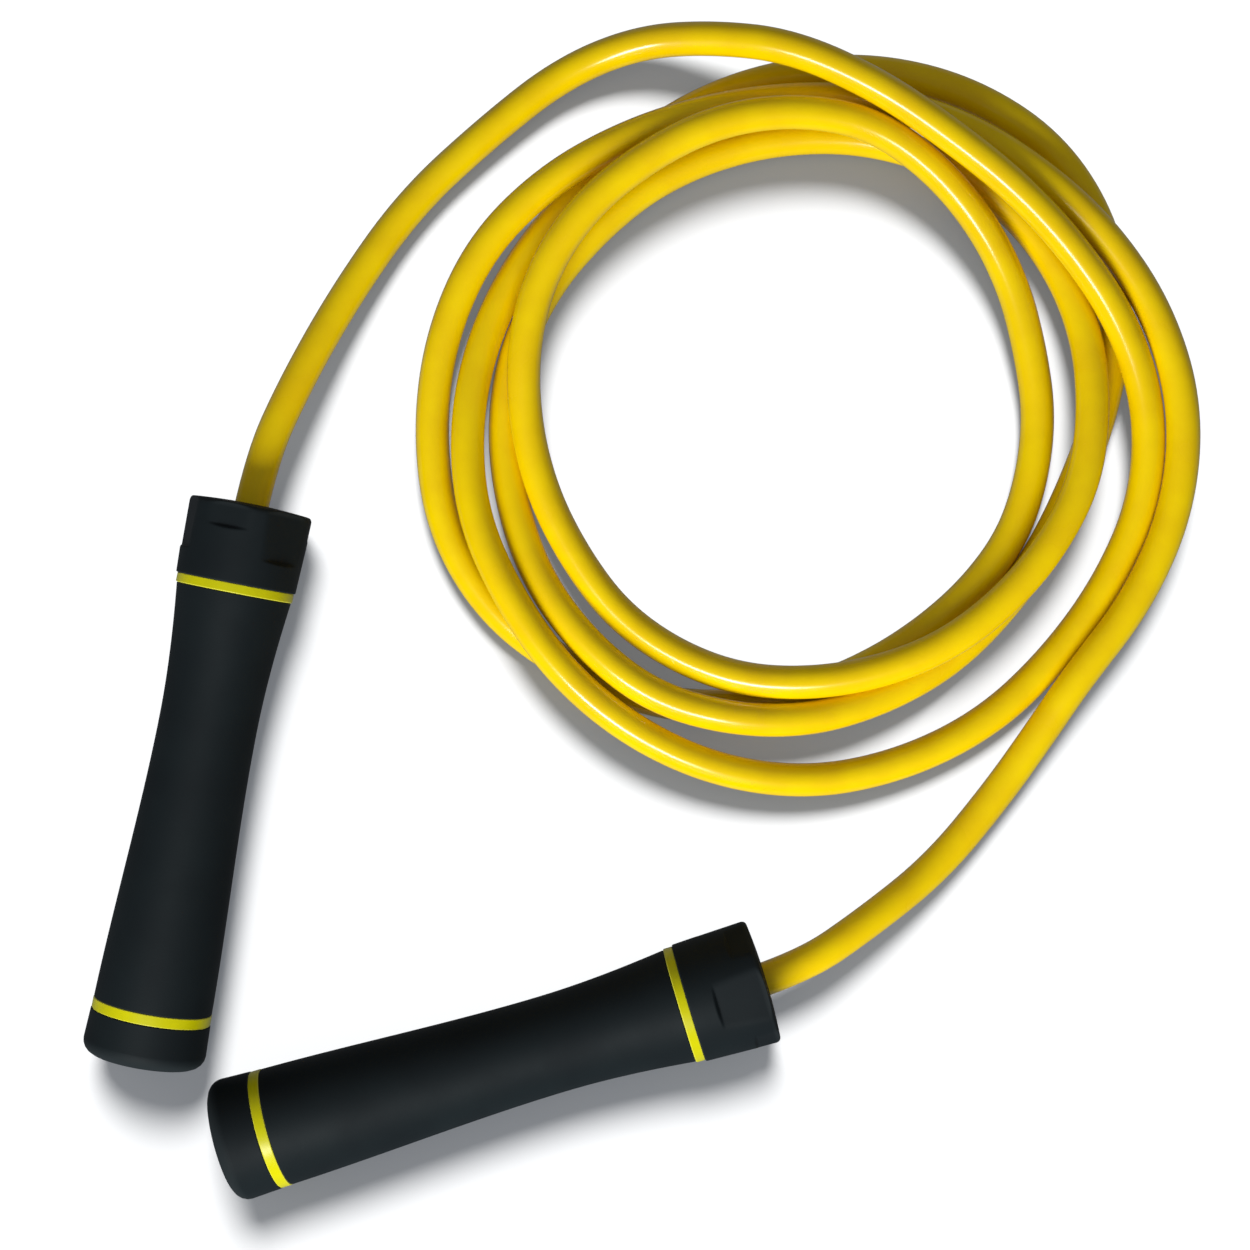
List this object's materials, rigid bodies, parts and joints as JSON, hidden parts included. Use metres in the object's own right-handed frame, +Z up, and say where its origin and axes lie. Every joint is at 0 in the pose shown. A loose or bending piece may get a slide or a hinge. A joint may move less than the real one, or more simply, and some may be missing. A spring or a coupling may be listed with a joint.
{
  "type": "jump rope",
  "caption": "Heavy skipping rope: a coiled plastic rope whose waisted handles spin on sealed ball bearings.",
  "frame": {"origin": "on the floor under the middle of the box round the two handles", "axes": "+Z up from the floor; +X the way the rope leaves the right handle; +Y towards the left handle's head"},
  "size_m": [0.3704, 0.3005, 0.0369],
  "materials": {
    "rope_pvc": "gloss",
    "handle_black": "satin, fine moulded grain",
    "ring_yellow": "semi-gloss",
    "bearing_steel": "polished",
    "pressed_steel": "zinc plated",
    "sleeve_aluminium": "turned"
  },
  "bodies": {
    "rope": {"rope_coil": "rope_pvc", "left_rope": "rope_pvc", "right_rope": "rope_pvc", "left_bearing_inner_race": "bearing_steel", "left_rope_sleeve": "sleeve_aluminium", "left_sleeve_clip": "pressed_steel", "left_stop_washer": "pressed_steel", "left_stop_screw": "pressed_steel", "right_bearing_inner_race": "bearing_steel", "right_rope_sleeve": "sleeve_aluminium", "right_sleeve_clip": "pressed_steel", "right_stop_washer": "pressed_steel", "right_stop_screw": "pressed_steel"},
    "left_handle": {"left_grip_body": "handle_black", "left_head_cap": "handle_black", "left_head_ring": "ring_yellow", "left_end_ring": "ring_yellow", "left_end_cap": "handle_black", "left_bearing_outer_race": "bearing_steel", "left_bearing_shields": "pressed_steel"},
    "left_ball_set": {"left_bearing_balls": "bearing_steel", "left_bearing_cage": "pressed_steel"},
    "right_handle": {"right_grip_body": "handle_black", "right_head_cap": "handle_black", "right_head_ring": "ring_yellow", "right_end_ring": "ring_yellow", "right_end_cap": "handle_black", "right_bearing_outer_race": "bearing_steel", "right_bearing_shields": "pressed_steel"},
    "right_ball_set": {"right_bearing_balls": "bearing_steel", "right_bearing_cage": "pressed_steel"}
  },
  "joints": [
    {"name": "left_handle_spin", "type": "hinge", "parent": "rope", "child": "left_handle", "pos_m": [-0.006, 0.094, 0.0186], "axis": [0.4664, 0.8846, 0], "continuous": true},
    {"name": "left_ball_set_spin", "type": "hinge", "parent": "rope", "child": "left_ball_set", "pos_m": [-0.006, 0.094, 0.0186], "axis": [0.4664, 0.8846, 0], "continuous": true},
    {"name": "right_handle_spin", "type": "hinge", "parent": "rope", "child": "right_handle", "pos_m": [0.099, -0.084, 0.0186], "axis": [1, 0, 0], "continuous": true},
    {"name": "right_ball_set_spin", "type": "hinge", "parent": "rope", "child": "right_ball_set", "pos_m": [0.099, -0.084, 0.0186], "axis": [1, 0, 0], "continuous": true}
  ],
  "couplings": [
    {"joint": "left_ball_set_spin", "follows": "left_handle_spin", "ratio": 0.5612},
    {"joint": "right_ball_set_spin", "follows": "right_handle_spin", "ratio": 0.5612}
  ]
}
